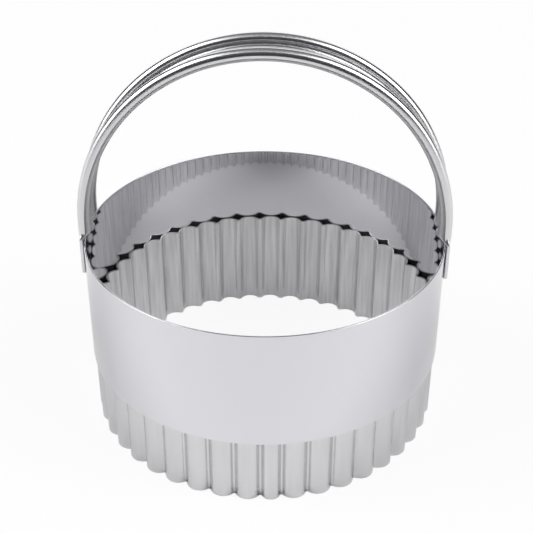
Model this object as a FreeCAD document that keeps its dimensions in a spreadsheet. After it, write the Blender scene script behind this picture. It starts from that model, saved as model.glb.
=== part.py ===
import FreeCAD, Part
import math
import os
import Sketcher

# Fluted biscuit cutter in sheet stainless steel, in millimetres.
# The cutting edge of the fluted ring stands on z = 0, the rings' common axis is z,
# and the handle's arch stands in the xz plane.

doc = FreeCAD.newDocument("fluted_cutter")
sheet = doc.addObject("Spreadsheet::Sheet", "sizes")

sizes = [
    ("band_diameter", 80.0, "outside of the plain band"),
    ("band_height", 27.4, "width of the strip the band is rolled from"),
    ("band_sheet", 0.4, "thickness of the band's sheet"),
    ("ring_height", 24.6, "width of the corrugated strip"),
    ("ring_overlap", 8.8, "how far the fluted ring reaches up inside the band"),
    ("ring_sheet", 0.4, "thickness of the corrugated sheet"),
    ("ring_clearance", 0.03, "gap between the flutes' crests and the band"),
    ("flute_count", 43, "flutes round the ring"),
    ("flute_depth", 1.45, "from crest to valley, on one face of the sheet"),
    ("valley_radius", 0.6, "bend in each valley, at the middle of the sheet"),
    ("seam_sector", 6.8, "degrees taken by the narrower flute where the strip's ends meet"),
    ("seam_turn", -86.3, "degrees from the x axis to that flute"),
    ("strap_sheet", 0.5, "thickness of the handle's sheet"),
    ("bead_pitch", 8.6, "between the crests of the handle's two beads"),
    ("bead_radius", 1.38, "outside of each bead"),
    ("bead_curl", 270, "degrees that the strap's edge is rolled through to make a bead"),
    ("web_depth", 2.1, "from the beads' crests down to the web between them"),
    ("web_radius", 0.35, "bend where a bead meets the web"),
    ("crest_stand", 0.25, "how far the beads stand out past the tabs"),
    ("leg_height", 4.1, "from the band's rim up to the arch's centre"),
    ("press_start", 0.3, "from the band's rim up to the end of the flat tab"),
    ("press_length", 1.9, "length over which the web slopes in from the flat tab"),
    ("tab_width", 12.4, "width of the flat tabs"),
    ("tab_shoulder", 1.2, "height over which a tab widens from the strap's width"),
    ("tab_length", 8.2, "how far the tabs reach down below the rim"),
    ("tab_corner", 1.0, "rounding of the tabs' lower corners"),
    ("fold_width", 1.25, "width of the rolled edge where it is pressed flat behind a tab"),
    ("fold_clearance", 0.03, "gap between that flattened edge and the band"),
    ("weld_diameter", 3.0, "dimple of one spot weld"),
    ("weld_depth", 0.1, "depth of a weld's dimple"),
    ("weld_pitch", 3.8, "between a tab's two spot welds"),
]
for row, (alias, value, meaning) in enumerate(sizes, start=1):
    sheet.set(f"A{row}", alias)
    sheet.set(f"B{row}", str(value))
    sheet.set(f"C{row}", meaning)
    sheet.setAlias(f"B{row}", alias)
doc.recompute()


def size(alias):
    return float(getattr(sheet, alias))


# Sizes that follow from the driving ones, as expressions and as numbers for the first drawing.
band_outer = "sizes.band_diameter / 2"
band_bottom = "(sizes.ring_height - sizes.ring_overlap)"
rim = "(sizes.ring_height - sizes.ring_overlap + sizes.band_height)"
crest_outer = "(sizes.band_diameter / 2 - sizes.band_sheet - sizes.ring_clearance)"
bead_reach = "(sizes.band_diameter / 2 + sizes.strap_sheet + sizes.crest_stand)"
arch_centre = f"({rim} + sizes.leg_height)"
tab_top = f"({rim} + sizes.press_start)"
tab_face = "(sizes.band_diameter / 2 + sizes.strap_sheet)"
strap_width = "(sizes.bead_pitch + 2 * sizes.bead_radius)"
fold_start = "(sizes.tab_width / 2 - sizes.fold_width)"
fold_face = f"sqrt((sizes.band_diameter / 2 + sizes.fold_clearance) ^ 2 - {fold_start} ^ 2)"

band_outer_now = size("band_diameter") / 2
band_bottom_now = size("ring_height") - size("ring_overlap")
rim_now = band_bottom_now + size("band_height")
crest_outer_now = band_outer_now - size("band_sheet") - size("ring_clearance")
bead_reach_now = band_outer_now + size("strap_sheet") + size("crest_stand")
arch_centre_now = rim_now + size("leg_height")
tab_top_now = rim_now + size("press_start")
tab_face_now = band_outer_now + size("strap_sheet")
strap_width_now = size("bead_pitch") + 2 * size("bead_radius")
fold_start_now = size("tab_width") / 2 - size("fold_width")
fold_face_now = math.sqrt((band_outer_now + size("fold_clearance")) ** 2 - fold_start_now ** 2)

# How many chords draw a bead on each face of the sheet, and how far each is inside the outer face.
bead_chords = {"outer": 6, "inner": 3}
inset = {"outer": "0", "inner": "sizes.strap_sheet"}
inset_now = {"outer": 0.0, "inner": size("strap_sheet")}


def new_body(label):
    body = doc.addObject("PartDesign::Body", label)
    body.Label = label
    return body


def origin_part(body, role):
    for feature in body.Origin.OriginFeatures:
        if feature.Role == role:
            return feature


def new_sketch(body, name, role, height=None):
    # a sketch on one of the body's own planes, moved along its normal by an expression
    sketch = body.newObject("Sketcher::SketchObject", name)
    sketch.AttachmentSupport = [(origin_part(body, role), "")]
    sketch.MapMode = "FlatFace"
    if height:
        sketch.setExpression(".AttachmentOffset.Base.z", height)
    return sketch


def point(x, y):
    return FreeCAD.Vector(x, y, 0)


def constrain(sketch, *parts):
    return sketch.addConstraint(Sketcher.Constraint(*parts))


def dimension(sketch, name, expression, *parts):
    # a constraint whose value is bound to the sheet
    index = constrain(sketch, *parts)
    sketch.renameConstraint(index, name)
    sketch.setExpression(f"Constraints.{name}", expression)


Z_DIRECTION = FreeCAD.Vector(0, 0, 1)

# The sketch's own origin and axes, and the order in which it counts an edge and its points.
ORIGIN = (-1, 1)
X_AXIS = -1
Y_AXIS = -2
EDGE_POINTS = ("edge itself", "start", "end", "centre")


class Edge:
    # one edge of an outline: its number in the sketch, and which of its points it enters and leaves by
    def __init__(self, number, entry="start", leave="end"):
        self.number = number
        self.entry = (number, EDGE_POINTS.index(entry))
        self.leave = (number, EDGE_POINTS.index(leave))
        self.centre = (number, EDGE_POINTS.index("centre"))


def draw_line(sketch, start, end, construction=False):
    return Edge(sketch.addGeometry(Part.LineSegment(point(*start), point(*end)), construction))


def draw_arc(sketch, centre, start, end, clockwise):
    first, last = (end, start) if clockwise else (start, end)
    angle_first = math.atan2(first[1] - centre[1], first[0] - centre[0])
    angle_last = math.atan2(last[1] - centre[1], last[0] - centre[0])
    if angle_last < angle_first:
        angle_last += 2 * math.pi
    radius = math.dist(first, centre)
    circle = Part.Circle(point(*centre), Z_DIRECTION, radius)
    number = sketch.addGeometry(Part.ArcOfCircle(circle, angle_first, angle_last))
    return Edge(number, "end", "start") if clockwise else Edge(number)


def join(sketch, edges, smooth):
    # each edge runs on from the one before it, smoothly or at a corner
    for before, after in zip(edges, edges[1:]):
        constrain(sketch, "Tangent" if smooth else "Coincident", *before.leave, *after.entry)


def make_band():
    # a plain strip rolled into a ring
    body = new_body("band")
    section = new_sketch(body, "band_section", "XZ_Plane")
    inner = band_outer_now - size("band_sheet")
    corners = [(inner, band_bottom_now), (band_outer_now, band_bottom_now),
               (band_outer_now, rim_now), (inner, rim_now)]
    sides = [draw_line(section, a, b) for a, b in zip(corners, corners[1:] + corners[:1])]
    join(section, sides + sides[:1], smooth=False)
    for side, direction in zip(sides, ("Horizontal", "Vertical", "Horizontal", "Vertical")):
        constrain(section, direction, side.number)
    dimension(section, "outer", band_outer, "DistanceX", *ORIGIN, *sides[0].leave, band_outer_now)
    dimension(section, "sheet", "sizes.band_sheet", "DistanceX", *sides[0].entry, *sides[0].leave,
              size("band_sheet"))
    dimension(section, "bottom", band_bottom, "DistanceY", *ORIGIN, *sides[0].entry, band_bottom_now)
    dimension(section, "height", "sizes.band_height", "DistanceY", *sides[1].entry, *sides[1].leave,
              size("band_height"))
    ring = body.newObject("PartDesign::Revolution", "rolled_strip")
    ring.Profile = section
    ring.ReferenceAxis = (section, ["V_Axis"])
    ring.Angle = 360
    body.Tip = ring
    return body


def draw_lap(section, inside, centre, starts, ends):
    # thickens a flute's lobe by a second sheet: the lobe's inner face is kept as a guide, and a deeper
    # one joins the ends of its bends
    lobe = inside[1]
    section.setConstruction(lobe.number, True)
    nested = draw_arc(section, centre, *ends, clockwise=False)
    constrain(section, "Coincident", *nested.centre, *lobe.centre)
    steps = [draw_line(section, start, end) for start, end in zip(starts, ends)]
    for step, bend_end, nested_end in ((steps[0], inside[0].leave, nested.entry),
                                       (steps[1], inside[2].entry, nested.leave)):
        constrain(section, "Coincident", *step.entry, *bend_end)
        constrain(section, "Coincident", *step.leave, *nested_end)
        constrain(section, "PointOnObject", *nested.centre, step.number)
    dimension(section, "lap", "sizes.ring_sheet", "Distance", *steps[0].entry, *steps[0].leave,
              size("ring_sheet"))


def draw_flute(body, name, sector, sector_now, turn, turn_now, lapped=False):
    # one flute, from the middle of one valley to the middle of the next, drawn about the sketch's x axis
    # and turned to its place: a broad lobe that bows out to the band, with a tight bend each side of it.
    # A lapped flute has a second sheet nested inside its lobe.
    section = new_sketch(body, name, "XY_Plane")
    section.AttachmentOffset = FreeCAD.Placement(FreeCAD.Vector(), FreeCAD.Rotation(Z_DIRECTION, turn_now))
    section.setExpression(".AttachmentOffset.Rotation.Angle", turn)
    half_sheet = size("ring_sheet") / 2
    half_angle = math.radians(sector_now / 2)
    bend = size("valley_radius")
    crest = crest_outer_now - half_sheet
    valley_centre = crest - size("flute_depth") + bend
    bend_x = valley_centre * math.cos(half_angle)
    bend_y = valley_centre * math.sin(half_angle)
    # the lobe's radius at the middle of the sheet, from its touching both bends
    reach = bend_x - crest
    lobe = (reach ** 2 + bend_y ** 2 - bend ** 2) / (2 * (bend - reach))
    lobe_x = crest - lobe

    def touch(side, lobe_radius):
        # where the lobe runs into a bend
        share = lobe_radius / math.hypot(bend_x - lobe_x, bend_y)
        return (lobe_x + (bend_x - lobe_x) * share, side * bend_y * share)

    def valley(side, radius):
        # the innermost point of a bend, on the line from the axis through its centre
        reach_in = valley_centre - radius
        return (reach_in * math.cos(half_angle), side * reach_in * math.sin(half_angle))

    def face(lobe_radius, bend_radius):
        # one face of the sheet, as bend, lobe and bend
        low, high = touch(-1, lobe_radius), touch(1, lobe_radius)
        return [draw_arc(section, (bend_x, -bend_y), valley(-1, bend_radius), low, clockwise=True),
                draw_arc(section, (lobe_x, 0), low, high, clockwise=False),
                draw_arc(section, (bend_x, bend_y), high, valley(1, bend_radius), clockwise=True)]

    outside = face(lobe + half_sheet, bend - half_sheet)
    inside = face(lobe - half_sheet, bend + half_sheet)
    rays = [draw_line(section, (0, 0), (bend_x, side * bend_y), construction=True) for side in (-1, 1)]
    middle = draw_line(section, (lobe_x, 0), (crest_outer_now, 0), construction=True)

    for edges in (outside, inside):
        join(section, edges, smooth=True)
    if lapped:
        inner_radius = lobe - half_sheet
        lap_radius = inner_radius - size("ring_sheet")
        draw_lap(section, inside, (lobe_x, 0), [touch(side, inner_radius) for side in (-1, 1)],
                 [touch(side, lap_radius) for side in (-1, 1)])
    for ray, outer, inner, outer_end, inner_end in (
            (rays[0], outside[0], inside[0], outside[0].entry, inside[0].entry),
            (rays[1], outside[2], inside[2], outside[2].leave, inside[2].leave)):
        side = -1 if ray is rays[0] else 1
        cut = draw_line(section, valley(side, bend + half_sheet), valley(side, bend - half_sheet))
        constrain(section, "Coincident", *cut.entry, *inner_end)
        constrain(section, "Coincident", *cut.leave, *outer_end)
        constrain(section, "PointOnObject", *outer_end, ray.number)
        constrain(section, "PointOnObject", *inner_end, ray.number)
        constrain(section, "Coincident", *ray.entry, *ORIGIN)
        constrain(section, "Coincident", *ray.leave, *outer.centre)
        constrain(section, "Coincident", *inner.centre, *outer.centre)
    constrain(section, "Symmetric", *rays[0].leave, *rays[1].leave, X_AXIS)
    constrain(section, "PointOnObject", *outside[1].centre, X_AXIS)
    constrain(section, "Coincident", *inside[1].centre, *outside[1].centre)
    constrain(section, "Coincident", *middle.entry, *outside[1].centre)
    constrain(section, "PointOnObject", *middle.leave, X_AXIS)
    constrain(section, "PointOnObject", *middle.leave, outside[1].number)

    bend_line = f"({crest_outer} - sizes.ring_sheet / 2 - sizes.flute_depth + sizes.valley_radius)"
    dimension(section, "crest", crest_outer, "DistanceX", *ORIGIN, *middle.leave, crest_outer_now)
    dimension(section, "bend_x", f"{bend_line} * cos({sector} / 2 * 1deg)",
              "DistanceX", *ORIGIN, *rays[1].leave, bend_x)
    dimension(section, "bend_y", f"{bend_line} * sin({sector} / 2 * 1deg)",
              "DistanceY", *ORIGIN, *rays[1].leave, bend_y)
    dimension(section, "bend_outside", "sizes.valley_radius - sizes.ring_sheet / 2",
              "Radius", outside[2].number, bend - half_sheet)
    dimension(section, "bend_inside", "sizes.valley_radius + sizes.ring_sheet / 2",
              "Radius", inside[2].number, bend + half_sheet)
    return section


def make_fluted_ring():
    # a corrugated strip rolled into a ring: its two ends are lapped over one narrower flute at the front,
    # and the other flutes are all alike
    body = new_body("fluted_ring")
    seam = draw_flute(body, "seam_section", "sizes.seam_sector", size("seam_sector"),
                      "sizes.seam_turn", size("seam_turn"), lapped=True)
    seam_flute = body.newObject("PartDesign::Pad", "seam_flute")
    seam_flute.Profile = seam
    seam_flute.setExpression("Length", "sizes.ring_height")

    sector = "((360 - sizes.seam_sector) / (sizes.flute_count - 1))"
    sector_now = (360 - size("seam_sector")) / (size("flute_count") - 1)
    section = draw_flute(body, "flute_section", sector, sector_now,
                         f"sizes.seam_turn + (sizes.seam_sector + {sector}) / 2",
                         size("seam_turn") + (size("seam_sector") + sector_now) / 2)
    flute = body.newObject("PartDesign::Pad", "flute")
    flute.Profile = section
    flute.setExpression("Length", "sizes.ring_height")
    doc.recompute()
    flutes = body.newObject("PartDesign::PolarPattern", "flutes")
    flutes.Originals = [flute]
    flutes.Axis = (section, ["N_Axis"])
    flutes.setExpression("Angle", f"(sizes.flute_count - 2) * {sector}")
    flutes.setExpression("Occurrences", "sizes.flute_count - 1")
    body.Tip = flutes
    return body


class Corner:
    # one corner of the strap's section: how far across the strap it lies and how far out,
    # as expressions and as numbers
    def __init__(self, name, across, out, across_now, out_now):
        self.name = name
        self.across = across
        self.out = out
        self.across_now = across_now
        self.out_now = out_now


def strap_corners(face, crest, crest_now):
    # the right half of one face of the strap's section, from the rolled edge under the bead, round the
    # bead and down its flank to the web. Chords between corners on the bead's circle draw the roll.
    bead_across, bead_across_now = "sizes.bead_pitch / 2", size("bead_pitch") / 2
    bead_out, bead_out_now = f"{crest} - sizes.bead_radius", crest_now - size("bead_radius")
    radius, radius_now = f"(sizes.bead_radius - {inset[face]})", size("bead_radius") - inset_now[face]
    bend, bend_now = f"(sizes.web_radius + {inset[face]})", size("web_radius") + inset_now[face]
    web_out = f"{crest} - sizes.web_depth - {inset[face]}"
    web_out_now = crest_now - size("web_depth") - inset_now[face]

    corners = []
    for step in range(bead_chords[face] + 1):
        share = 1 - step / bead_chords[face]
        turn, turn_now = f"(180 - sizes.bead_curl * {share}) * 1deg", 180 - size("bead_curl") * share
        corners.append(Corner(f"{face}_bead_{step}",
                              f"{bead_across} + {radius} * cos({turn})",
                              f"{bead_out} + {radius} * sin({turn})",
                              bead_across_now + radius_now * math.cos(math.radians(turn_now)),
                              bead_out_now + radius_now * math.sin(math.radians(turn_now))))
    if face == "outer":
        corners.append(Corner("flank_foot", f"{bead_across} - {radius}", f"{web_out} + {bend}",
                              bead_across_now - radius_now, web_out_now + bend_now))
    corners.append(Corner(f"{face}_web", f"{bead_across} - {radius} - {bend}", web_out,
                          bead_across_now - radius_now - bend_now, web_out_now))
    return corners


def draw_strap(sketch, crest, crest_now, upright):
    # the strap's closed section, through both faces' corners and their mirror images. An upright
    # section has its outer face up the sketch's y axis, and any other has it out along the x axis.
    across_sense, out_sense = ("DistanceX", "DistanceY") if upright else ("DistanceY", "DistanceX")
    mirror_axis = Y_AXIS if upright else X_AXIS
    outer = strap_corners("outer", crest, crest_now)
    inner = strap_corners("inner", crest, crest_now)
    loop = [(corner, 1) for corner in outer] + [(corner, -1) for corner in outer[::-1]]
    loop += [(corner, -1) for corner in inner] + [(corner, 1) for corner in inner[::-1]]

    def place(corner, side):
        across, out = side * corner.across_now, corner.out_now
        return (across, out) if upright else (out, across)

    ends = loop[1:] + loop[:1]
    edges = [draw_line(sketch, place(*start), place(*end)) for start, end in zip(loop, ends)]
    join(sketch, edges + edges[:1], smooth=False)
    vertex = {(corner.name, side): edge.entry for (corner, side), edge in zip(loop, edges)}
    for corner in outer + inner:
        right, left = vertex[corner.name, 1], vertex[corner.name, -1]
        dimension(sketch, f"{corner.name}_across", corner.across, across_sense,
                  *ORIGIN, *right, corner.across_now)
        dimension(sketch, f"{corner.name}_out", corner.out, out_sense, *ORIGIN, *right, corner.out_now)
        constrain(sketch, "Symmetric", *left, *right, mirror_axis)


def draw_polygon(sketch, corners):
    # a closed outline through corners that are each given as x and y, an expression and a number for
    # each. All of them lie on the positive side of both axes.
    ends = corners[1:] + corners[:1]
    edges = [draw_line(sketch, (a[1], a[3]), (b[1], b[3])) for a, b in zip(corners, ends)]
    join(sketch, edges + edges[:1], smooth=False)
    for number, (edge, (x, x_now, y, y_now)) in enumerate(zip(edges, corners)):
        dimension(sketch, f"x_{number}", x, "DistanceX", *ORIGIN, *edge.entry, x_now)
        dimension(sketch, f"y_{number}", y, "DistanceY", *ORIGIN, *edge.entry, y_now)


def draw_tab(body):
    # the flat tab that lies against the band: as wide as the strap at its top, wider below its
    # shoulders, and with its lower corners rounded
    sketch = new_sketch(body, "tab_outline", "YZ_Plane", band_outer)
    bottom = rim_now - size("tab_length")
    neck, half = strap_width_now / 2, size("tab_width") / 2
    shoulder = tab_top_now - size("tab_shoulder")
    corner = size("tab_corner")
    slope_left = draw_line(sketch, (-neck, tab_top_now), (-half, shoulder))
    edges = [
        draw_line(sketch, (-half, shoulder), (-half, bottom + corner)),
        draw_arc(sketch, (corner - half, bottom + corner), (-half, bottom + corner), (corner - half, bottom),
                 clockwise=False),
        draw_line(sketch, (corner - half, bottom), (half - corner, bottom)),
        draw_arc(sketch, (half - corner, bottom + corner), (half - corner, bottom), (half, bottom + corner),
                 clockwise=False),
        draw_line(sketch, (half, bottom + corner), (half, shoulder)),
    ]
    join(sketch, edges, smooth=True)
    slope_right = draw_line(sketch, (half, shoulder), (neck, tab_top_now))
    head = draw_line(sketch, (neck, tab_top_now), (-neck, tab_top_now))
    join(sketch, [edges[4], slope_right, head, slope_left, edges[0]], smooth=False)
    constrain(sketch, "Horizontal", edges[2].number)
    constrain(sketch, "Vertical", edges[0].number)
    constrain(sketch, "Vertical", edges[4].number)
    constrain(sketch, "Symmetric", *head.entry, *head.leave, Y_AXIS)
    constrain(sketch, "Symmetric", *slope_right.entry, *slope_left.leave, Y_AXIS)
    constrain(sketch, "Equal", edges[1].number, edges[3].number)
    dimension(sketch, "corner", "sizes.tab_corner", "Radius", edges[1].number, corner)
    dimension(sketch, "neck", strap_width, "DistanceX", *head.leave, *head.entry, strap_width_now)
    dimension(sketch, "width", "sizes.tab_width", "DistanceX", *slope_left.leave, *slope_right.entry,
              size("tab_width"))
    dimension(sketch, "top", tab_top, "DistanceY", *ORIGIN, *head.entry, tab_top_now)
    dimension(sketch, "shoulder", f"{tab_top} - sizes.tab_shoulder", "DistanceY", *ORIGIN,
              *slope_right.entry, shoulder)
    dimension(sketch, "bottom", f"{rim} - sizes.tab_length", "DistanceY", *ORIGIN, *edges[2].entry, bottom)
    return sketch


def draw_folds(body):
    # the strap's rolled edges, pressed flat against the inner face of the tab down both its sides, just
    # clear of the band
    sketch = new_sketch(body, "fold_outlines", "YZ_Plane", fold_face)
    bottom = rim_now - size("tab_length")
    shoulder = tab_top_now - size("tab_shoulder")
    half, corner = size("tab_width") / 2, size("tab_corner")
    for name, side in (("right", 1), ("left", -1)):
        under = draw_line(sketch, (side * fold_start_now, bottom), (side * (half - corner), bottom))
        turned = draw_arc(sketch, (side * (half - corner), bottom + corner), (side * (half - corner), bottom),
                          (side * half, bottom + corner), clockwise=side < 0)
        outside = draw_line(sketch, (side * half, bottom + corner), (side * half, shoulder))
        head = draw_line(sketch, (side * half, shoulder), (side * fold_start_now, shoulder))
        inside = draw_line(sketch, (side * fold_start_now, shoulder), (side * fold_start_now, bottom))
        join(sketch, [under, turned, outside], smooth=True)
        join(sketch, [outside, head, inside, under], smooth=False)
        for edge, direction in ((under, "Horizontal"), (outside, "Vertical"), (head, "Horizontal"),
                                (inside, "Vertical")):
            constrain(sketch, direction, edge.number)
        dimension(sketch, f"{name}_corner", "sizes.tab_corner", "Radius", turned.number, corner)
        dimension(sketch, f"{name}_bottom", f"{rim} - sizes.tab_length", "DistanceY", *ORIGIN, *under.entry,
                  bottom)
        dimension(sketch, f"{name}_shoulder", f"{tab_top} - sizes.tab_shoulder", "DistanceY", *ORIGIN,
                  *head.entry, shoulder)
        near, far = (ORIGIN, inside.entry) if side > 0 else (inside.entry, ORIGIN)
        dimension(sketch, f"{name}_start", fold_start, "DistanceX", *near, *far, fold_start_now)
        near, far = (ORIGIN, outside.leave) if side > 0 else (outside.leave, ORIGIN)
        dimension(sketch, f"{name}_side", "sizes.tab_width / 2", "DistanceX", *near, *far, half)
    return sketch


def draw_welds(body):
    # the two dimples that the spot welds leave in the tab's outer face, one above the other
    sketch = new_sketch(body, "weld_dimples", "YZ_Plane", tab_face)
    middle = rim_now - size("tab_length") / 2
    for name, side in (("upper", 1), ("lower", -1)):
        place = middle + side * size("weld_pitch") / 2
        circle = Edge(sketch.addGeometry(Part.Circle(point(0, place), Z_DIRECTION, size("weld_diameter") / 2)))
        constrain(sketch, "PointOnObject", *circle.centre, Y_AXIS)
        dimension(sketch, f"{name}_size", "sizes.weld_diameter / 2", "Radius", circle.number,
                  size("weld_diameter") / 2)
        dimension(sketch, f"{name}_place",
                  f"{rim} - sizes.tab_length / 2 {'+' if side > 0 else '-'} sizes.weld_pitch / 2",
                  "DistanceY", *ORIGIN, *circle.centre, place)
    return sketch


def make_handle():
    # one strap with both edges rolled into beads, bent to a half circle on two straight legs, and pressed
    # flat at both ends, where it is welded to the outside of the band
    body = new_body("handle")

    top = new_sketch(body, "arch_section", "YZ_Plane")
    draw_strap(top, f"({arch_centre} + {bead_reach})", arch_centre_now + bead_reach_now, upright=True)
    hinge_line = draw_line(top, (0, arch_centre_now), (size("bead_pitch"), arch_centre_now), construction=True)
    constrain(top, "Horizontal", hinge_line.number)
    constrain(top, "PointOnObject", *hinge_line.entry, Y_AXIS)
    dimension(top, "arch_centre", arch_centre, "DistanceY", *ORIGIN, *hinge_line.entry, arch_centre_now)
    dimension(top, "centre_length", "sizes.bead_pitch", "DistanceX", *hinge_line.entry, *hinge_line.leave,
              size("bead_pitch"))
    arch = body.newObject("PartDesign::Revolution", "arch")
    arch.Profile = top
    arch.ReferenceAxis = (top, ["Axis0"])
    arch.Angle = 180
    arch.Midplane = True
    doc.recompute()

    # the right-hand leg, straight down from the arch to the top of the flat tab
    beaded = new_sketch(body, "leg_section", "XY_Plane", tab_top)
    draw_strap(beaded, bead_reach, bead_reach_now, upright=False)
    leg = body.newObject("PartDesign::Pad", "leg")
    leg.Profile = beaded
    leg.setExpression("Length", f"{arch_centre} - {tab_top}")
    doc.recompute()

    # at its foot the web and the undersides of the beads slope out to the tab, and only the beads'
    # outer halves run straight on
    web_inner = f"({bead_reach} - sizes.web_depth - sizes.strap_sheet)"
    web_inner_now = bead_reach_now - size("web_depth") - size("strap_sheet")
    slope_top, slope_top_now = f"({tab_top} + sizes.press_length)", tab_top_now + size("press_length")
    inside = f"({bead_reach} - 3 * sizes.bead_radius)"
    inside_now = bead_reach_now - 3 * size("bead_radius")
    under = new_sketch(body, "under_slope", "XZ_Plane")
    draw_polygon(under, [(inside, inside_now, tab_top, tab_top_now),
                         (band_outer, band_outer_now, tab_top, tab_top_now),
                         (web_inner, web_inner_now, slope_top, slope_top_now),
                         (inside, inside_now, slope_top, slope_top_now)])
    clear = body.newObject("PartDesign::Pocket", "clear_under_slope")
    clear.Profile = under
    clear.Type = "ThroughAll"
    clear.Midplane = True
    doc.recompute()

    section = new_sketch(body, "slope_section", "XZ_Plane")
    draw_polygon(section, [(band_outer, band_outer_now, tab_top, tab_top_now),
                           (tab_face, tab_face_now, tab_top, tab_top_now),
                           (f"{web_inner} + sizes.strap_sheet", web_inner_now + size("strap_sheet"),
                            slope_top, slope_top_now),
                           (web_inner, web_inner_now, slope_top, slope_top_now)])
    slope = body.newObject("PartDesign::Pad", "slope")
    slope.Profile = section
    slope.Midplane = True
    slope.setExpression("Length", strap_width)
    doc.recompute()

    tab = body.newObject("PartDesign::Pad", "tab")
    tab.Profile = draw_tab(body)
    tab.setExpression("Length", "sizes.strap_sheet")
    doc.recompute()

    folds = body.newObject("PartDesign::Pad", "folds")
    folds.Profile = draw_folds(body)
    folds.setExpression("Length", f"{band_outer} - {fold_face}")
    doc.recompute()

    welds = body.newObject("PartDesign::Pocket", "welds")
    welds.Profile = draw_welds(body)
    welds.setExpression("Length", "sizes.weld_depth")
    doc.recompute()

    other_side = body.newObject("PartDesign::Mirrored", "other_side")
    other_side.Originals = [leg, clear, slope, tab, folds, welds]
    other_side.MirrorPlane = (origin_part(body, "YZ_Plane"), [""])
    body.Tip = other_side
    return body


band = make_band()
fluted_ring = make_fluted_ring()
handle = make_handle()
doc.recompute()

for item in doc.Objects:
    bad = [state for state in item.State if state in ("Invalid", "Error")]
    if bad:
        raise RuntimeError(f"{item.Name} is {bad}")

os.makedirs("parts", exist_ok=True)
for body in (band, fluted_ring, handle):
    shape = body.Shape
    if shape.isNull() or not shape.isValid():
        raise RuntimeError(f"{body.Label} has no valid shape")
    print(body.Label, "volume", round(shape.Volume, 2), "solids", len(shape.Solids), "box", shape.BoundBox)
    shape.exportStep(f"parts/{body.Label}.step")
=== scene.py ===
import bmesh
import bpy
import math
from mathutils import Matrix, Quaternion, Vector


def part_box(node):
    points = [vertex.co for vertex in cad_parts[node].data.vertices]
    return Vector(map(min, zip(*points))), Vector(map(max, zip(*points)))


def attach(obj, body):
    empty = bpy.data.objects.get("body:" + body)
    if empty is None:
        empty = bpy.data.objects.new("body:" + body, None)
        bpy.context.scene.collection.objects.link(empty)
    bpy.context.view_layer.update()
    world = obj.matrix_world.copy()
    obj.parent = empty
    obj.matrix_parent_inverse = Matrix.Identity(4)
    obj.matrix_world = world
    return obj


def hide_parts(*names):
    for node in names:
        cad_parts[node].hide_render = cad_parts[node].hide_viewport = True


# Fluted biscuit cutter: three pieces of bright stainless sheet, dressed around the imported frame.
# Lengths are metres. The cutting edge stands on z = 0 and the handle's arch stands in the xz plane.

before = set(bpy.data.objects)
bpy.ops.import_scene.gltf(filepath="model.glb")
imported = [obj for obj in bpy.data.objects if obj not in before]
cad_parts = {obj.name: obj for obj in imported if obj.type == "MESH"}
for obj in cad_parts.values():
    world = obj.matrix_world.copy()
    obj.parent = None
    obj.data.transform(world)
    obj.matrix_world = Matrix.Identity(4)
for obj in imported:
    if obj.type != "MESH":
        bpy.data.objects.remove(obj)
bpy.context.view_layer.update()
mm = 0.001

bandLow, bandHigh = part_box("band")
ringLow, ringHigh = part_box("fluted_ring")
handleLow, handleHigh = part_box("handle")
bandReach = bandHigh.x  # outside of the band
beadReach = handleHigh.x  # crests of the handle's beads on its legs
archHeight = handleHigh.z - beadReach  # centre of the handle's arch
uprightTurn = 0.25  # turns a metal's stretch from round the axis to upright
print("frame: band", round(bandReach / mm, 2), "mm, arch centre", round(archHeight / mm, 2), "mm up")


def addNode(tree, kind, inputs=None, **settings):
    # a node with its settings, and its inputs given as values or as sockets to link
    node = tree.nodes.new(kind)
    for name, value in settings.items():
        setattr(node, name, value)
    for name, value in (inputs or {}).items():
        if isinstance(value, bpy.types.NodeSocket):
            tree.links.new(value, node.inputs[name])
        else:
            node.inputs[name].default_value = value
    return node


def linear(hexCode):
    # an sRGB hex colour as linear RGBA
    channels = [int(hexCode[start:start + 2], 16) / 255 for start in (1, 3, 5)]
    return [c / 12.92 if c <= 0.04045 else ((c + 0.055) / 1.055) ** 2.4 for c in channels] + [1.0]


def newMaterial(name):
    material = bpy.data.materials.new(name)
    material.use_nodes = True
    material.node_tree.nodes.clear()
    return material, material.node_tree


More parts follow.
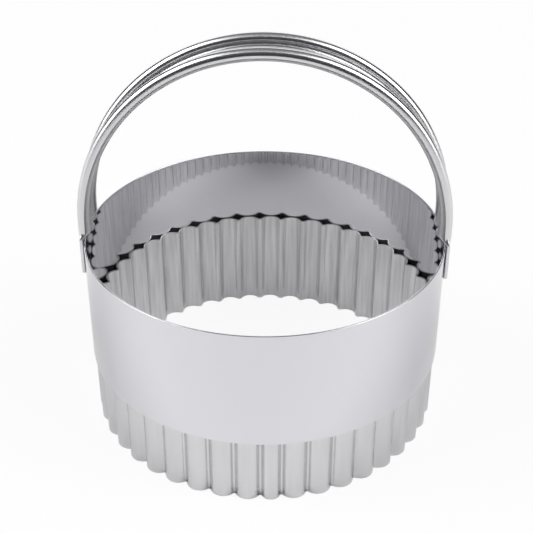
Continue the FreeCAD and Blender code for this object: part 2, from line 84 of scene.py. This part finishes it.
def bandSteel():
    # Bright-annealed stainless strip, rolled to a near mirror: a cool, even grey that shows its
    # surroundings sharply, under a sheen that draws lights out into soft upright strips. The real
    # rolling lines are too fine to show and are drawn coarser.
    look = {"colour": "#E0DFE4", "roughness": 0.03, "sheenShare": 0.03, "sheenRoughness": 0.4,
            "sheenStretch": 1.0, "waveSize": 14 * mm, "waveDepth": 0.006 * mm,
            "lineSpacing": 0.35 * mm, "lineStretch": 40.0, "lineDepth": 0.0004 * mm}
    material, tree = newMaterial("brightRolledStainless")
    place = addNode(tree, "ShaderNodeTexCoord")
    wave = addNode(tree, "ShaderNodeTexNoise", {
        "Vector": place.outputs["Object"], "Scale": 1 / look["waveSize"], "Detail": 1.0})
    across = addNode(tree, "ShaderNodeMapping", {
        "Vector": place.outputs["Object"], "Scale": (1.0, 1.0, look["lineStretch"])})
    lines = addNode(tree, "ShaderNodeTexNoise", {
        "Vector": across.outputs[0], "Scale": 1 / (look["lineStretch"] * look["lineSpacing"]), "Detail": 4.0})
    waveBump = addNode(tree, "ShaderNodeBump", {
        "Height": wave.outputs[0], "Distance": look["waveDepth"], "Strength": 1.0})
    lineBump = addNode(tree, "ShaderNodeBump", {
        "Height": lines.outputs[0], "Distance": look["lineDepth"], "Strength": 1.0,
        "Normal": waveBump.outputs[0]})
    mirror = addNode(tree, "ShaderNodeBsdfPrincipled", {
        "Base Color": linear(look["colour"]), "Metallic": 1.0, "Roughness": look["roughness"],
        "Normal": lineBump.outputs[0]})
    roundAxis = addNode(tree, "ShaderNodeTangent", direction_type="RADIAL", axis="Z")
    sheen = addNode(tree, "ShaderNodeBsdfPrincipled", {
        "Base Color": linear(look["colour"]), "Metallic": 1.0, "Roughness": look["sheenRoughness"],
        "Anisotropic": look["sheenStretch"], "Anisotropic Rotation": uprightTurn,
        "Tangent": roundAxis.outputs[0], "Normal": lineBump.outputs[0]})
    both = addNode(tree, "ShaderNodeMixShader", {
        0: look["sheenShare"], 1: mirror.outputs[0], 2: sheen.outputs[0]})
    addNode(tree, "ShaderNodeOutputMaterial", {"Surface": both.outputs[0]})
    return material


def flutedSteel():
    # The same sheet after corrugating: a neutral grey with upright streaks in its colour, partly real forming
    # streaks and partly painted highlights.
    # Its inner face is painted paler and its outer face darker, as painted light. Its forming marks draw
    # reflections out lengthways.
    look = {"pale": "#F2F2F3", "dark": "#C8C8CA", "roughness": 0.18, "stretch": 1.0,
            "insidePaintedLight": 0.75, "outsidePaintedShade": 0.35, "insideStreaksAndHighlights": 0.6, "outsideStreaksAndHighlights": 0.12,
            "streakSpacing": 0.8 * mm, "streakLength": 14 * mm, "noiseLow": 0.3, "noiseHigh": 0.7,
            "sideBlend": 10 * mm, "markSpacing": 1.1 * mm, "markLength": 24 * mm,
            "markDepth": 0.014 * mm}
    material, tree = newMaterial("corrugatedStainless")
    place = addNode(tree, "ShaderNodeTexCoord")
    upright = addNode(tree, "ShaderNodeMapping", {
        "Vector": place.outputs["Object"], "Scale": (1.0, 1.0, look["markSpacing"] / look["markLength"])})
    marks = addNode(tree, "ShaderNodeTexNoise", {
        "Vector": upright.outputs[0], "Scale": 1 / look["markSpacing"], "Detail": 3.0})
    bump = addNode(tree, "ShaderNodeBump", {
        "Height": marks.outputs[0], "Distance": look["markDepth"], "Strength": 1.0})
    drawn = addNode(tree, "ShaderNodeMapping", {
        "Vector": place.outputs["Object"], "Scale": (1.0, 1.0, look["streakSpacing"] / look["streakLength"])})
    streaks = addNode(tree, "ShaderNodeTexNoise", {
        "Vector": drawn.outputs[0], "Scale": 1 / look["streakSpacing"], "Detail": 1.0})
    swing = addNode(tree, "ShaderNodeMapRange", {
        "Value": streaks.outputs[0], "From Min": look["noiseLow"], "From Max": look["noiseHigh"],
        "To Min": -0.5, "To Max": 0.5})
    # the inner face looks towards the axis and the outer one away from it
    surface = addNode(tree, "ShaderNodeNewGeometry")
    outwards = addNode(tree, "ShaderNodeVectorMath", {
        0: surface.outputs["Normal"], 1: place.outputs["Object"]}, operation="DOT_PRODUCT")
    side = {"Value": outwards.outputs["Value"], "From Min": -look["sideBlend"], "From Max": look["sideBlend"]}
    # painted light: the inner face gets stronger streaks than the outer one, partly painted highlights
    strength = addNode(tree, "ShaderNodeMapRange", {
        **side, "To Min": look["insideStreaksAndHighlights"], "To Max": look["outsideStreaksAndHighlights"]})
    # painted light: the inner face is painted paler and the outer face darker
    middle = addNode(tree, "ShaderNodeMapRange", {
        **side, "To Min": look["insidePaintedLight"], "To Max": look["outsidePaintedShade"]})
    share = addNode(tree, "ShaderNodeMath", {
        0: swing.outputs[0], 1: strength.outputs[0], 2: middle.outputs[0]}, operation="MULTIPLY_ADD")
    tone = addNode(tree, "ShaderNodeMix", {
        "Factor": share.outputs[0], 6: linear(look["dark"]), 7: linear(look["pale"])}, data_type="RGBA")
    roundAxis = addNode(tree, "ShaderNodeTangent", direction_type="RADIAL", axis="Z")
    shader = addNode(tree, "ShaderNodeBsdfPrincipled", {
        "Base Color": tone.outputs[2], "Metallic": 1.0, "Roughness": look["roughness"],
        "Anisotropic": look["stretch"], "Anisotropic Rotation": uprightTurn,
        "Tangent": roundAxis.outputs[0], "Normal": bump.outputs[0]})
    addNode(tree, "ShaderNodeOutputMaterial", {"Surface": shader.outputs[0]})
    return material


def strapSteel():
    # Stainless strip drawn through rollers and polished: it mirrors crisply across its width, and its
    # fine streaks draw every reflection out along its length. The real streaks are finer than a pixel
    # and are drawn coarser.
    look = {"colour": "#DADADC", "roughness": 0.18, "stretch": 1.0, "streakWidth": 0.3 * mm,
            "streakLength": 20 * mm, "streakDepth": 0.001 * mm}
    material, tree = newMaterial("drawnPolishedStainless")
    along = addNode(tree, "ShaderNodeUVMap", uv_map="strapUv")
    drawn = addNode(tree, "ShaderNodeMapping", {
        "Vector": along.outputs[0], "Scale": (look["streakWidth"] / look["streakLength"], 1.0, 1.0)})
    streaks = addNode(tree, "ShaderNodeTexNoise", {
        "Vector": drawn.outputs[0], "Scale": 1 / look["streakWidth"], "Detail": 0.0})
    bump = addNode(tree, "ShaderNodeBump", {
        "Height": streaks.outputs[0], "Distance": look["streakDepth"], "Strength": 1.0})
    lengthways = addNode(tree, "ShaderNodeTangent", direction_type="UV_MAP", uv_map="strapUv")
    shader = addNode(tree, "ShaderNodeBsdfPrincipled", {
        "Base Color": linear(look["colour"]), "Metallic": 1.0, "Roughness": look["roughness"],
        "Anisotropic": look["stretch"], "Tangent": lengthways.outputs[0], "Normal": bump.outputs[0]})
    addNode(tree, "ShaderNodeOutputMaterial", {"Surface": shader.outputs[0]})
    return material


def cutSteel():
    # The corrugated sheet's sheared edges, dull beside its rolled faces: a soft grey line.
    look = {"colour": "#98989A", "roughness": 0.4}
    material, tree = newMaterial("shearedStainlessEdge")
    shader = addNode(tree, "ShaderNodeBsdfPrincipled", {
        "Base Color": linear(look["colour"]), "Metallic": 1.0, "Roughness": look["roughness"]})
    addNode(tree, "ShaderNodeOutputMaterial", {"Surface": shader.outputs[0]})
    return material


def newPiece(name, mesh, material):
    piece = bpy.data.objects.new(name, mesh)
    bpy.context.scene.collection.objects.link(piece)
    mesh.materials.append(material)
    mesh.shade_smooth()
    return piece


bevel = {"segments": 2, "sharpAngle": 60}


def addBevel(piece, width):
    # dresses the piece's cut edges
    edges = piece.modifiers.new("edges", "BEVEL")
    edges.width = width
    edges.segments = bevel["segments"]
    edges.limit_method = "ANGLE"
    edges.angle_limit = math.radians(bevel["sharpAngle"])


def bake(piece):
    # the evaluated shape becomes the piece's own plain mesh, and its modifiers go
    depsgraph = bpy.context.evaluated_depsgraph_get()
    mesh = bpy.data.meshes.new_from_object(piece.evaluated_get(depsgraph))
    piece.modifiers.clear()
    old = piece.data
    piece.data = mesh
    bpy.data.meshes.remove(old)
    return piece


def seat(piece, node):
    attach(piece, "root")
    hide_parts(node)
    print(piece.name, "has", sum(len(face.vertices) - 2 for face in piece.data.polygons), "triangles")


bandSizes = {"sheet": 0.4 * mm, "edge": 0.08 * mm, "turns": 384, "edgeSteps": 4,
             "wallRows": (0.02, 0.25, 0.5, 0.75, 0.98)}


def makeBand():
    # a strip rolled into a ring, with its cut edges dressed round
    edge, steps = bandSizes["edge"], bandSizes["edgeSteps"]
    inner, low, high = bandReach - bandSizes["sheet"], bandLow.z, bandHigh.z
    corners = [(bandReach - edge, low + edge, -90), (bandReach - edge, high - edge, 0),
               (inner + edge, high - edge, 90), (inner + edge, low + edge, 180)]
    outline = []
    for number, (x, z, start) in enumerate(corners):
        arc = [math.radians(start + 90 * step / steps) for step in range(steps + 1)]
        outline += [(x + edge * math.cos(a), z + edge * math.sin(a)) for a in arc]
        if number in (0, 2):
            # rows on the wall that follows, which keep its shading flat beside the round edges
            wall = outline[-1][0]
            near, far = (low, high) if number == 0 else (high, low)
            outline += [(wall, near + (far - near) * share) for share in bandSizes["wallRows"]]
    shape = bmesh.new()
    turns = bandSizes["turns"]
    rings = []
    for turn in range(turns):
        angle = 2 * math.pi * turn / turns
        rings.append([shape.verts.new((x * math.cos(angle), x * math.sin(angle), z)) for x, z in outline])
    for turn in range(turns):
        here, there = rings[turn], rings[(turn + 1) % turns]
        for step in range(len(outline)):
            after = (step + 1) % len(outline)
            shape.faces.new((here[step], there[step], there[after], here[after]))
    bmesh.ops.recalc_face_normals(shape, faces=shape.faces)
    mesh = bpy.data.meshes.new("polishedBand")
    shape.to_mesh(mesh)
    shape.free()
    return newPiece("polishedBand", mesh, bandSteel())


ringSizes = {"sheet": 0.4 * mm, "clearance": 0.03 * mm, "flutes": 43, "fluteDepth": 1.45 * mm,
             "valleyRadius": 0.6 * mm, "seamSector": 6.8, "seamTurn": -86.3, "lapGap": 0.02 * mm,
             "edge": 0.05 * mm, "edgeLean": 0.3, "weldDistance": 0.01 * mm,
             "lobeSteps": 18, "bendSteps": 7, "rows": 6, "support": 0.15 * mm}


def fluteArcs(sector):
    # a flute's middle line about the x axis: its lobe's radius and centre, the lobe's half angle, and the
    # centre of the bend beside it
    half = math.radians(sector / 2)
    bend = ringSizes["valleyRadius"]
    crest = bandReach - bandSizes["sheet"] - ringSizes["clearance"] - ringSizes["sheet"] / 2
    reach = crest - ringSizes["fluteDepth"] + bend
    bendX, bendY = reach * math.cos(half), reach * math.sin(half)
    gap = bendX - crest
    lobe = (gap ** 2 + bendY ** 2 - bend ** 2) / (2 * (bend - gap))
    lobeX = crest - lobe
    return lobe, lobeX, math.atan2(bendY, bendX - lobeX), (bendX, bendY)


def lobeLine(lobe, lobeX, touch, steps):
    angles = [touch * (2 * step / steps - 1) for step in range(steps + 1)]
    return [(lobeX + lobe * math.cos(angle), lobe * math.sin(angle)) for angle in angles]


def fluteLine(sector):
    # one flute from valley to valley: a bend, a broad lobe and a bend
    lobe, lobeX, touch, (bendX, bendY) = fluteArcs(sector)
    half, bend = math.radians(sector / 2), ringSizes["valleyRadius"]
    right = []
    for step in range(1, ringSizes["bendSteps"] + 1):
        angle = touch + (half - touch) * step / ringSizes["bendSteps"]
        right.append((bendX - bend * math.cos(angle), bendY - bend * math.sin(angle)))
    left = [(x, -y) for x, y in right[::-1]]
    return left + lobeLine(lobe, lobeX, touch, ringSizes["lobeSteps"]) + right


def uprightSheet(name, lines):
    # sheets that stand on the lines, as high as the ring, with a row close to each cut edge that keeps
    # the walls' shading flat
    rows = ringSizes["rows"]
    heights = [ringLow.z + (ringHigh.z - ringLow.z) * row / rows for row in range(rows + 1)]
    heights[1] = ringLow.z + ringSizes["support"]
    heights[-2] = ringHigh.z - ringSizes["support"]
    points, faces = [], []
    for line in lines:
        first = len(points)
        points += [(x, y, z) for x, y in line for z in heights]
        for column in range(len(line) - 1):
            for row in range(rows):
                corner = first + column * (rows + 1) + row
                faces.append((corner, corner + rows + 1, corner + rows + 2, corner + 1))
    mesh = bpy.data.meshes.new(name)
    mesh.from_pydata(points, [], faces)
    return mesh


def fluteTree():
    # repeats one flute round the axis and joins the seam flute to the others
    tree = bpy.data.node_groups.new("flutesRoundAxis", "GeometryNodeTree")
    tree.interface.new_socket("Geometry", in_out="INPUT", socket_type="NodeSocketGeometry")
    kinds = {"Flutes": "Int", "Sector": "Float", "First turn": "Float", "Seam turn": "Float",
             "Seam flute": "Object", "Weld distance": "Float", "Sheet metal": "Material"}
    for name, kind in kinds.items():
        tree.interface.new_socket(name, in_out="INPUT", socket_type="NodeSocket" + kind)
    tree.interface.new_socket("Geometry", in_out="OUTPUT", socket_type="NodeSocketGeometry")
    given = addNode(tree, "NodeGroupInput").outputs
    centre = addNode(tree, "GeometryNodePoints", {"Count": given["Flutes"]})
    number = addNode(tree, "GeometryNodeInputIndex")
    swing = addNode(tree, "ShaderNodeMath", {
        0: number.outputs[0], 1: given["Sector"], 2: given["First turn"]}, operation="MULTIPLY_ADD")
    turn = addNode(tree, "ShaderNodeCombineXYZ", {"Z": swing.outputs[0]})
    flutes = addNode(tree, "GeometryNodeInstanceOnPoints", {
        "Points": centre.outputs[0], "Instance": given["Geometry"], "Rotation": turn.outputs[0]})
    seamShape = addNode(tree, "GeometryNodeObjectInfo", {"Object": given["Seam flute"]})
    seamTurn = addNode(tree, "ShaderNodeCombineXYZ", {"Z": given["Seam turn"]})
    seam = addNode(tree, "GeometryNodeTransform", {
        "Geometry": seamShape.outputs["Geometry"], "Rotation": seamTurn.outputs[0]})
    both = addNode(tree, "GeometryNodeJoinGeometry", {0: seam.outputs[0]})
    tree.links.new(flutes.outputs[0], both.inputs[0])
    real = addNode(tree, "GeometryNodeRealizeInstances", {0: both.outputs[0]})
    closed = addNode(tree, "GeometryNodeMergeByDistance", {
        "Geometry": real.outputs[0], "Distance": given["Weld distance"]})
    smooth = addNode(tree, "GeometryNodeSetShadeSmooth", {"Geometry": closed.outputs[0]})
    metal = addNode(tree, "GeometryNodeSetMaterial", {
        "Geometry": smooth.outputs[0], "Material": given["Sheet metal"]})
    addNode(tree, "NodeGroupOutput", {0: metal.outputs[0]})
    return tree


def makeFlutedRing():
    # the corrugated strip, rolled up and cut level top and bottom
    steel = flutedSteel()
    sector = (360 - ringSizes["seamSector"]) / (ringSizes["flutes"] - 1)
    # the strip's ends are lapped at the seam: a second sheet nests in the seam flute's lobe
    lobe, lobeX, touch, _ = fluteArcs(ringSizes["seamSector"])
    nested = lobe - ringSizes["sheet"] - ringSizes["lapGap"]
    seamLines = [fluteLine(ringSizes["seamSector"]), lobeLine(nested, lobeX, touch, ringSizes["lobeSteps"])]
    seamFlute = bpy.data.objects.new("seamFlute", uprightSheet("seamFlute", seamLines))
    ring = newPiece("flutedRing", uprightSheet("flutedRing", [fluteLine(sector)]), steel)
    tree = fluteTree()
    repeat = ring.modifiers.new("flutes", "NODES")
    repeat.node_group = tree
    values = {
        "Flutes": ringSizes["flutes"] - 1,
        "Sector": math.radians(sector),
        "First turn": math.radians(ringSizes["seamTurn"] + (ringSizes["seamSector"] + sector) / 2),
        "Seam turn": math.radians(ringSizes["seamTurn"]),
        "Seam flute": seamFlute,
        "Weld distance": ringSizes["weldDistance"],
        "Sheet metal": steel,
    }
    for item in tree.interface.items_tree:
        if item.in_out == "INPUT" and item.name in values:
            repeat[item.identifier] = values[item.name]
    sheet = ring.modifiers.new("sheet", "SOLIDIFY")
    sheet.thickness = ringSizes["sheet"]
    sheet.offset = 0.0
    addBevel(ring, ringSizes["edge"])
    bake(ring)
    bpy.data.objects.remove(seamFlute)
    # the faces that lean up or down are the sheared edges
    ring.data.materials.clear()
    ring.data.materials.append(steel)
    ring.data.materials.append(cutSteel())
    for face in ring.data.polygons:
        face.material_index = 1 if abs(face.normal.z) > ringSizes["edgeLean"] else 0
    return ring


strapSizes = {"sheet": 0.5 * mm, "beadPitch": 8.6 * mm, "beadRadius": 1.38 * mm, "beadCurl": 270,
              "webDepth": 2.1 * mm, "webRise": 0.7 * mm, "webRadius": 0.35 * mm, "crestStand": 0.25 * mm,
              "pressStart": 0.3 * mm, "pressLength": 1.9 * mm, "tabWidth": 12.4 * mm, "tabCorner": 1.0 * mm,
              "foldWidth": 1.25 * mm, "foldClearance": 0.03 * mm, "foldRound": 0.25 * mm, "edge": 0.1 * mm,
              "weldRadius": 1.5 * mm, "weldDepth": 0.1 * mm, "weldPitch": 3.8 * mm, "weldFlat": 0.65,
              "crownSteps": 14, "bendSteps": 6, "beadSteps": 30, "cutSteps": 6, "innerBeadSteps": 9,
              "innerBendSteps": 3, "tabSteps": 56, "legSteps": 4, "archSteps": 420}


def arcPoints(centre, radius, first, last, steps):
    angles = [math.radians(first + (last - first) * step / steps) for step in range(steps + 1)]
    return [(centre[0] + radius * math.cos(a), centre[1] + radius * math.sin(a)) for a in angles]


def linePoints(first, last, steps):
    return [(first[0] + (last[0] - first[0]) * step / steps, first[1] + (last[1] - first[1]) * step / steps)
            for step in range(steps + 1)]


def beadSection():
    # half of the strap's closed section on its beaded length, as (across, out from the beads' crests):
    # the outer face, the rounded cut edge and the inner face
    sheet, roll, bend = strapSizes["sheet"], strapSizes["beadRadius"], strapSizes["webRadius"]
    centre, end = (strapSizes["beadPitch"] / 2, -roll), 180 - strapSizes["beadCurl"]
    foot, web = centre[0] - roll - bend, -strapSizes["webDepth"]
    steps = strapSizes["crownSteps"]
    crown = [(foot * step / steps, strapSizes["webRise"] * (0.5 + 0.5 * math.cos(math.pi * step / steps)))
             for step in range(steps + 1)]
    outer = [(y, web + rise) for y, rise in crown]
    outer += arcPoints((foot, web + bend), bend, -90, 0, strapSizes["bendSteps"])[1:]
    outer += arcPoints(centre, roll, 180, end, strapSizes["beadSteps"])
    tip, middle = math.radians(end), roll - sheet / 2
    tipCentre = (centre[0] + middle * math.cos(tip), centre[1] + middle * math.sin(tip))
    cut = arcPoints(tipCentre, sheet / 2, end, end - 180, strapSizes["cutSteps"])[1:-1]
    inner = arcPoints(centre, roll - sheet, end, 180, strapSizes["innerBeadSteps"])
    inner += arcPoints((foot, web + bend), bend + sheet, 0, -90, strapSizes["innerBendSteps"])
    # the crown again, back to the middle with half as many steps
    inner += [(y, web - sheet + rise) for y, rise in crown[-3::-2]]
    return outer, cut, inner


def spread(line, count):
    # the line again as a given number of evenly spaced points
    ways = [0.0]
    for a, b in zip(line, line[1:]):
        ways.append(ways[-1] + math.dist(a, b))
    points, segment = [], 0
    for step in range(count):
        way = ways[-1] * step / (count - 1)
        while segment < len(line) - 2 and ways[segment + 1] < way:
            segment += 1
        share = (way - ways[segment]) / (ways[segment + 1] - ways[segment])
        a, b = line[segment], line[segment + 1]
        points.append((a[0] + (b[0] - a[0]) * share, a[1] + (b[1] - a[1]) * share))
    return points


def tabSection(outerCount, cutCount, innerCount):
    # the same half section where it is pressed flat: a plate with its rolled edge folded back behind it
    half, face = strapSizes["tabWidth"] / 2, -strapSizes["crestStand"]
    start, turn, steps = half - strapSizes["foldWidth"], strapSizes["foldRound"], strapSizes["bendSteps"]
    back = math.sqrt((bandReach + strapSizes["foldClearance"]) ** 2 - start ** 2) - beadReach
    outer = [(0, face)] + arcPoints((half - turn, face - turn), turn, 90, 0, steps)
    outer += arcPoints((half - turn, back + turn), turn, 0, -90, steps) + [(start, back)]
    plate = face - strapSizes["sheet"]
    cut = linePoints((start, back), (start, plate), cutCount + 1)[1:-1]
    return spread(outer, outerCount), cut, spread([(start, plate), (0, plate)], innerCount)


def strapPath():
    # the crests' places and outward directions along the strap, from the lower edge of one tab to that
    # of the other
    low, pressed = handleLow.z, bandHigh.z + strapSizes["pressStart"] + strapSizes["pressLength"]
    tab, leg, arch = strapSizes["tabSteps"], strapSizes["legSteps"], strapSizes["archSteps"]
    heights = [low + (pressed - low) * step / tab for step in range(tab)]
    heights += [pressed + (archHeight - pressed) * step / leg for step in range(leg)]
    stations = [(Vector((-beadReach, 0, z)), Vector((-1, 0, 0))) for z in heights]
    for step in range(arch + 1):
        angle = math.pi * (1 - step / arch)
        out = Vector((math.cos(angle), 0, math.sin(angle)))
        stations.append((Vector((0, 0, archHeight)) + out * beadReach, out))
    return stations + [(Vector((beadReach, 0, z)), Vector((1, 0, 0))) for z in reversed(heights)]


def easeStep(value):
    value = min(1.0, max(0.0, value))
    return value * value * (3 - 2 * value)


def weldDepthAt(y, z):
    # how deep a spot weld's dimple is at a place on a tab's face
    middle, flat = (bandHigh.z + handleLow.z) / 2, strapSizes["weldFlat"]
    depth = 0.0
    for side in (1, -1):
        away = math.hypot(y, z - middle - side * strapSizes["weldPitch"] / 2) / strapSizes["weldRadius"]
        depth = max(depth, strapSizes["weldDepth"] * (1 - easeStep((away - flat) / (1 - flat))))
    return depth


def makeStrap():
    # one strap with both edges rolled into beads, bent to an arch and pressed flat at its ends
    outer, cut, inner = beadSection()
    beads = outer + cut + inner
    flats = [point for part in tabSection(len(outer), len(cut), len(inner)) for point in part]
    half, corner = strapSizes["tabWidth"] / 2, strapSizes["tabCorner"]
    fold = half - strapSizes["foldWidth"]
    shape = bmesh.new()
    rings, ways, along, last = [], [], 0.0, None
    for place, out in strapPath():
        along += (place - last).length if last else 0.0
        last = place
        ways.append(along)
        flat = easeStep(1 - (place.z - bandHigh.z - strapSizes["pressStart"]) / strapSizes["pressLength"])
        rounding = max(0.0, corner - (place.z - handleLow.z))
        side = half - (corner - math.sqrt(corner ** 2 - rounding ** 2))
        section = []
        for number, ((y, depth), (flatY, flatDepth)) in enumerate(zip(beads, flats)):
            if flatY > fold:
                flatY = fold + (flatY - fold) * (side - fold) / (half - fold)
            across, down = y + (flatY - y) * flat, depth + (flatDepth - depth) * flat
            if flat == 1 and number < len(outer) / 2:
                down -= weldDepthAt(across, place.z)
            section.append((across, down))
        section += [(-across, down) for across, down in section[-2:0:-1]]
        rings.append([shape.verts.new(place + out * down + Vector((0, across, 0)))
                      for across, down in section])
    uv = shape.loops.layers.uv.new("strapUv")
    total = len(rings[0])
    # how far the streaks' map moves across for each point of the section
    width = (strapSizes["beadPitch"] + 4 * strapSizes["beadRadius"]) / len(beads)
    for station in range(len(rings) - 1):
        here, there = rings[station], rings[station + 1]
        for number in range(total):
            after = (number + 1) % total
            face = shape.faces.new((here[number], here[after], there[after], there[number]))
            corners = ((station, number), (station, number + 1),
                       (station + 1, number + 1), (station + 1, number))
            for loop, (stop, step) in zip(face.loops, corners):
                loop[uv].uv = (ways[stop], step * width)
    for ring in (rings[0], rings[-1]):
        shape.faces.new(ring)
    bmesh.ops.recalc_face_normals(shape, faces=shape.faces)
    mesh = bpy.data.meshes.new("handleStrap")
    shape.to_mesh(mesh)
    shape.free()
    strap = newPiece("handleStrap", mesh, strapSteel())
    addBevel(strap, strapSizes["edge"])
    return bake(strap)


seat(makeBand(), "band")
seat(makeFlutedRing(), "fluted_ring")
seat(makeStrap(), "handle")

studio = {"floorColour": "#F4F4F4", "floorSize": 8.0, "backdropAway": 1.9, "backdropHeight": 0.85,
          "sweepRadius": 0.3, "sweepSteps": 9, "shadowShare": 0.1, "mirrorShare": 0.06,
          "roomLight": 0.02, "roomMirror": 0.03}

# the softboxes: place, width and height of each, and its power in watts
softboxes = {
    "left": ((-0.827, -0.102, 0.863), (0.85, 0.8), 8.4),
    "left low": ((-1.133, -0.139, 0.371), (0.85, 0.55), 3.0),
    "right": ((0.809, -0.202, 0.863), (0.8, 0.8), 8.4),
    "right low": ((1.107, -0.276, 0.371), (0.8, 0.55), 2.9),
    "overhead": ((0.0, 0.1, 1.1), (1.2, 1.5), 1.3),
    "back": ((0.0, 1.25, 0.72), (1.8, 0.4), 2.2),
    "low back": ((0.0, 1.3, 0.28), (1.8, 0.35), 2.0),
}

white = (1.0, 1.0, 1.0, 1.0)


def makeFloor():
    # A pale floor that sweeps up into a low backdrop. The camera sees it white, with a little of its
    # shadows left. The metal mirrors it as it is lit, with a small share of that white.
    material, tree = newMaterial("paleStudioFloor")
    ray = addNode(tree, "ShaderNodeLightPath")
    mirrored = addNode(tree, "ShaderNodeMath", {
        0: ray.outputs["Is Glossy Ray"], 1: studio["mirrorShare"]}, operation="MULTIPLY")
    share = addNode(tree, "ShaderNodeMath", {
        0: ray.outputs["Is Camera Ray"], 1: 1 - studio["shadowShare"], 2: mirrored.outputs[0]},
        operation="MULTIPLY_ADD")
    paint = addNode(tree, "ShaderNodeBsdfDiffuse", {"Color": linear(studio["floorColour"])})
    glow = addNode(tree, "ShaderNodeEmission", {"Color": white, "Strength": 1.0})
    mixed = addNode(tree, "ShaderNodeMixShader", {
        0: share.outputs[0], 1: paint.outputs[0], 2: glow.outputs[0]})
    addNode(tree, "ShaderNodeOutputMaterial", {"Surface": mixed.outputs[0]})
    radius, away, half = studio["sweepRadius"], studio["backdropAway"], studio["floorSize"] / 2
    steps = studio["sweepSteps"]
    turns = [math.radians(90 * step / steps) for step in range(steps + 1)]
    outline = [(-half, 0.0)]
    outline += [(away - radius + radius * math.sin(turn), radius - radius * math.cos(turn)) for turn in turns]
    outline.append((away, studio["backdropHeight"]))
    points = [(side * half, y, z) for y, z in outline for side in (-1, 1)]
    faces = [(2 * step, 2 * step + 1, 2 * step + 3, 2 * step + 2) for step in range(len(outline) - 1)]
    mesh = bpy.data.meshes.new("studioFloor")
    mesh.from_pydata(points, [], faces)
    floor = newPiece("studioFloor", mesh, material)


def makeLight():
    for name, (place, (width, height), power) in softboxes.items():
        lamp = bpy.data.lights.new(name, "AREA")
        lamp.shape = "RECTANGLE"
        lamp.size, lamp.size_y = width, height
        lamp.energy = power
        softbox = bpy.data.objects.new(name, lamp)
        softbox.location = place
        softbox.rotation_mode = "QUATERNION"
        softbox.rotation_quaternion = (-Vector(place)).to_track_quat("-Z", "Y")
        bpy.context.scene.collection.objects.link(softbox)
    # the room is dim, so that the metal keeps its dark lines, and shows white past the floor's edge
    world = bpy.data.worlds.new("studioRoom")
    world.use_nodes = True
    tree = world.node_tree
    tree.nodes.clear()
    ray = addNode(tree, "ShaderNodeLightPath")
    mirrored = addNode(tree, "ShaderNodeMath", {
        0: ray.outputs["Is Glossy Ray"], 1: studio["roomMirror"], 2: studio["roomLight"]},
        operation="MULTIPLY_ADD")
    seen = addNode(tree, "ShaderNodeMath", {
        0: ray.outputs["Is Camera Ray"], 1: 1 - studio["roomLight"], 2: mirrored.outputs[0]},
        operation="MULTIPLY_ADD")
    room = addNode(tree, "ShaderNodeBackground", {"Color": white, "Strength": seen.outputs[0]})
    addNode(tree, "ShaderNodeOutputWorld", {"Surface": room.outputs[0]})
    bpy.context.scene.world = world


camera = {"focalPixels": 1125.33, "imagePixels": 533, "distance": 255.74 * mm, "aimHeight": 33.94 * mm,
          "aimRight": 0.374 * mm, "elevation": 32.40, "azimuth": 1.6, "roll": 0.1, "sensor": 36.0}


def makeCamera():
    data = bpy.data.cameras.new("productCamera")
    data.sensor_width = camera["sensor"]
    data.lens = camera["focalPixels"] / camera["imagePixels"] * camera["sensor"]
    viewer = bpy.data.objects.new("productCamera", data)
    azimuth, elevation = math.radians(camera["azimuth"]), math.radians(camera["elevation"])
    back = Vector((math.sin(azimuth) * math.cos(elevation), -math.cos(azimuth) * math.cos(elevation),
                   math.sin(elevation)))
    right = Vector((math.cos(azimuth), math.sin(azimuth), 0.0))
    aim = right * camera["aimRight"] + Vector((0, 0, camera["aimHeight"]))
    viewer.location = aim + back * camera["distance"]
    viewer.rotation_mode = "QUATERNION"
    roll = Quaternion(back, math.radians(camera["roll"]))
    viewer.rotation_quaternion = roll @ (-back).to_track_quat("-Z", "Y")
    bpy.context.scene.collection.objects.link(viewer)
    bpy.context.scene.camera = viewer


makeFloor()
makeLight()
makeCamera()
bpy.context.scene.view_settings.view_transform = "Standard"
print("studio, light and camera set")
